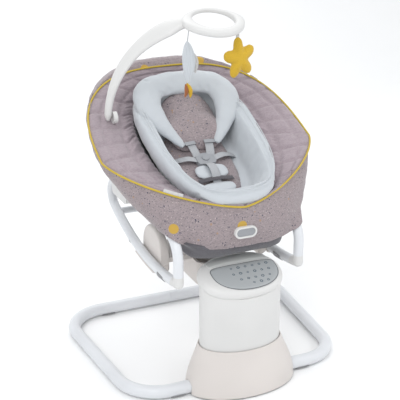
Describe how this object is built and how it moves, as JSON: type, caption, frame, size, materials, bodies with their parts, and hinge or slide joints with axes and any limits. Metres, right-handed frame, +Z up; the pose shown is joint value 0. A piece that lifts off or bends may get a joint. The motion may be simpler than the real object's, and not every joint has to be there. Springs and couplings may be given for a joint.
{
  "type": "baby swing",
  "caption": "Motorised baby swing: floor loop and oval drive tower, swinging arm with a glide carriage, lift-off rocker, reclining padded seat and a toy bar.",
  "frame": {"origin": "on the floor, under the middle of the whole swing", "axes": "+Z up; +Y from the drive tower to the head end of the seat; +X to the right, seen from the tower"},
  "size_m": [0.6437, 0.6326, 0.8901],
  "materials": {
    "white_tube": "satin white powder coat",
    "white_plastic": "fine satin",
    "warm_plastic": "fine satin, warm white",
    "panel_grey": "smooth membrane",
    "board_green": "circuit board",
    "black_plastic": "moulded",
    "bright_steel": "turned",
    "bronze": "sintered bearing",
    "rubber_grey": "soft foot",
    "taupe_cloth": "quilted woven cloth",
    "dark_cloth": "plain woven cloth",
    "light_cloth": "soft knit",
    "speckled_cloth": "speckled woven cloth",
    "strap_web": "woven webbing",
    "grey_plastic": "moulded",
    "mustard_cloth": "felt"
  },
  "bodies": {
    "base": {"left_floor_tube": "white_tube", "right_floor_tube": "white_tube", "floor_tube_joiner": "bright_steel", "floor_feet": "rubber_grey", "tower_feet": "rubber_grey", "tower_cowl": "warm_plastic", "tower_base_plate": "black_plastic", "tower_drum": "white_plastic", "tower_cap": "white_plastic", "control_panel": "panel_grey", "circuit_board": "board_green", "tower_chassis": "black_plastic", "lower_bearing": "bronze", "upper_bearing": "bronze", "drive_motor": "black_plastic", "motor_bracket": "bright_steel", "power_socket": "black_plastic", "tower_screws": "bright_steel"},
    "pinion": {"motor_pinion": "black_plastic"},
    "arm": {"pivot_shaft": "bright_steel", "sector_gear": "black_plastic", "swing_arm": "warm_plastic", "glide_rods": "bright_steel"},
    "carriage": {"carriage_tray": "warm_plastic", "glide_bushes": "bronze", "left_dock": "warm_plastic", "right_dock": "warm_plastic", "handle_pin": "bright_steel"},
    "handle": {"release_handle": "white_plastic"},
    "rocker": {"left_rocker_tube": "white_tube", "right_rocker_tube": "white_tube", "left_rocker_tip": "white_plastic", "right_rocker_tip": "white_plastic", "rear_cross_tube": "white_tube", "rocker_grips": "rubber_grey", "left_hub": "white_plastic", "right_hub": "white_plastic"},
    "seat": {"hub_pins": "bright_steel", "left_seat_arm": "bright_steel", "right_seat_arm": "bright_steel", "seat_hoop": "bright_steel", "seat_cover": "taupe_cloth", "seat_sling": "dark_cloth", "seat_insert": "light_cloth", "seat_pad": "speckled_cloth", "head_pillow": "light_cloth", "pillow_centre": "speckled_cloth", "shoulder_straps": "strap_web", "waist_straps": "strap_web", "crotch_strap": "strap_web", "crotch_pad": "light_cloth", "harness_buckle": "grey_plastic", "vibration_unit": "white_plastic", "toy_bar_socket": "white_plastic"},
    "buckle_button": {"buckle_button": "grey_plastic"},
    "vibration_button": {"vibration_button": "grey_plastic"},
    "toy_bar": {"toy_bar": "white_plastic", "toy_ring": "white_plastic"},
    "leaf": {"leaf_toy": "light_cloth"},
    "star": {"star_toy": "mustard_cloth"}
  },
  "joints": [
    {"name": "arm_swing", "type": "hinge", "parent": "base", "child": "arm", "pos_m": [0, -0.215, 0.2], "axis": [0, 0, 1], "range_deg": [-12, 12]},
    {"name": "pinion_spin", "type": "hinge", "parent": "base", "child": "pinion", "pos_m": [0.06, -0.215, 0.18], "axis": [0, 0, 1], "range_deg": [-50, 50]},
    {"name": "carriage_glide", "type": "slide", "parent": "arm", "child": "carriage", "axis": [0, 1, 0], "range_m": [-0.02, 0.02]},
    {"name": "handle_pull", "type": "hinge", "parent": "carriage", "child": "handle", "pos_m": [0.09, 0.041, 0.281], "axis": [1, 0, 0], "range_deg": [-18, 0], "stiffness_Nm_per_rad": 0.12, "springref_deg": 8.59},
    {"name": "rocker_lift", "type": "slide", "parent": "carriage", "child": "rocker", "axis": [0, 0, 1], "range_m": [0, 0.2]},
    {"name": "seat_recline", "type": "hinge", "parent": "rocker", "child": "seat", "pos_m": [0, 0.13, 0.423], "axis": [1, 0, 0], "range_deg": [-12, 0]},
    {"name": "buckle_press", "type": "slide", "parent": "seat", "child": "buckle_button", "axis": [0, 0.3869, -0.9221], "range_m": [0, 0.0018], "stiffness_N_per_m": 800},
    {"name": "vibration_press", "type": "slide", "parent": "seat", "child": "vibration_button", "axis": [0, 1, 0], "range_m": [0, 0.002], "stiffness_N_per_m": 800},
    {"name": "toy_bar_tilt", "type": "hinge", "parent": "seat", "child": "toy_bar", "pos_m": [-0.216, 0.08, 0.612], "axis": [1, 0, 0], "range_deg": [-35, 20]},
    {"name": "leaf_swing", "type": "hinge", "parent": "toy_bar", "child": "leaf", "pos_m": [-0.044, -0.042, 0.82677], "axis": [1, 0, 0], "range_deg": [-25, 25]},
    {"name": "star_swing", "type": "hinge", "parent": "toy_bar", "child": "star", "pos_m": [0.078, -0.042, 0.82677], "axis": [1, 0, 0], "range_deg": [-25, 25]}
  ],
  "couplings": [
    {"joint": "pinion_spin", "follows": "arm_swing", "ratio": -4}
  ]
}
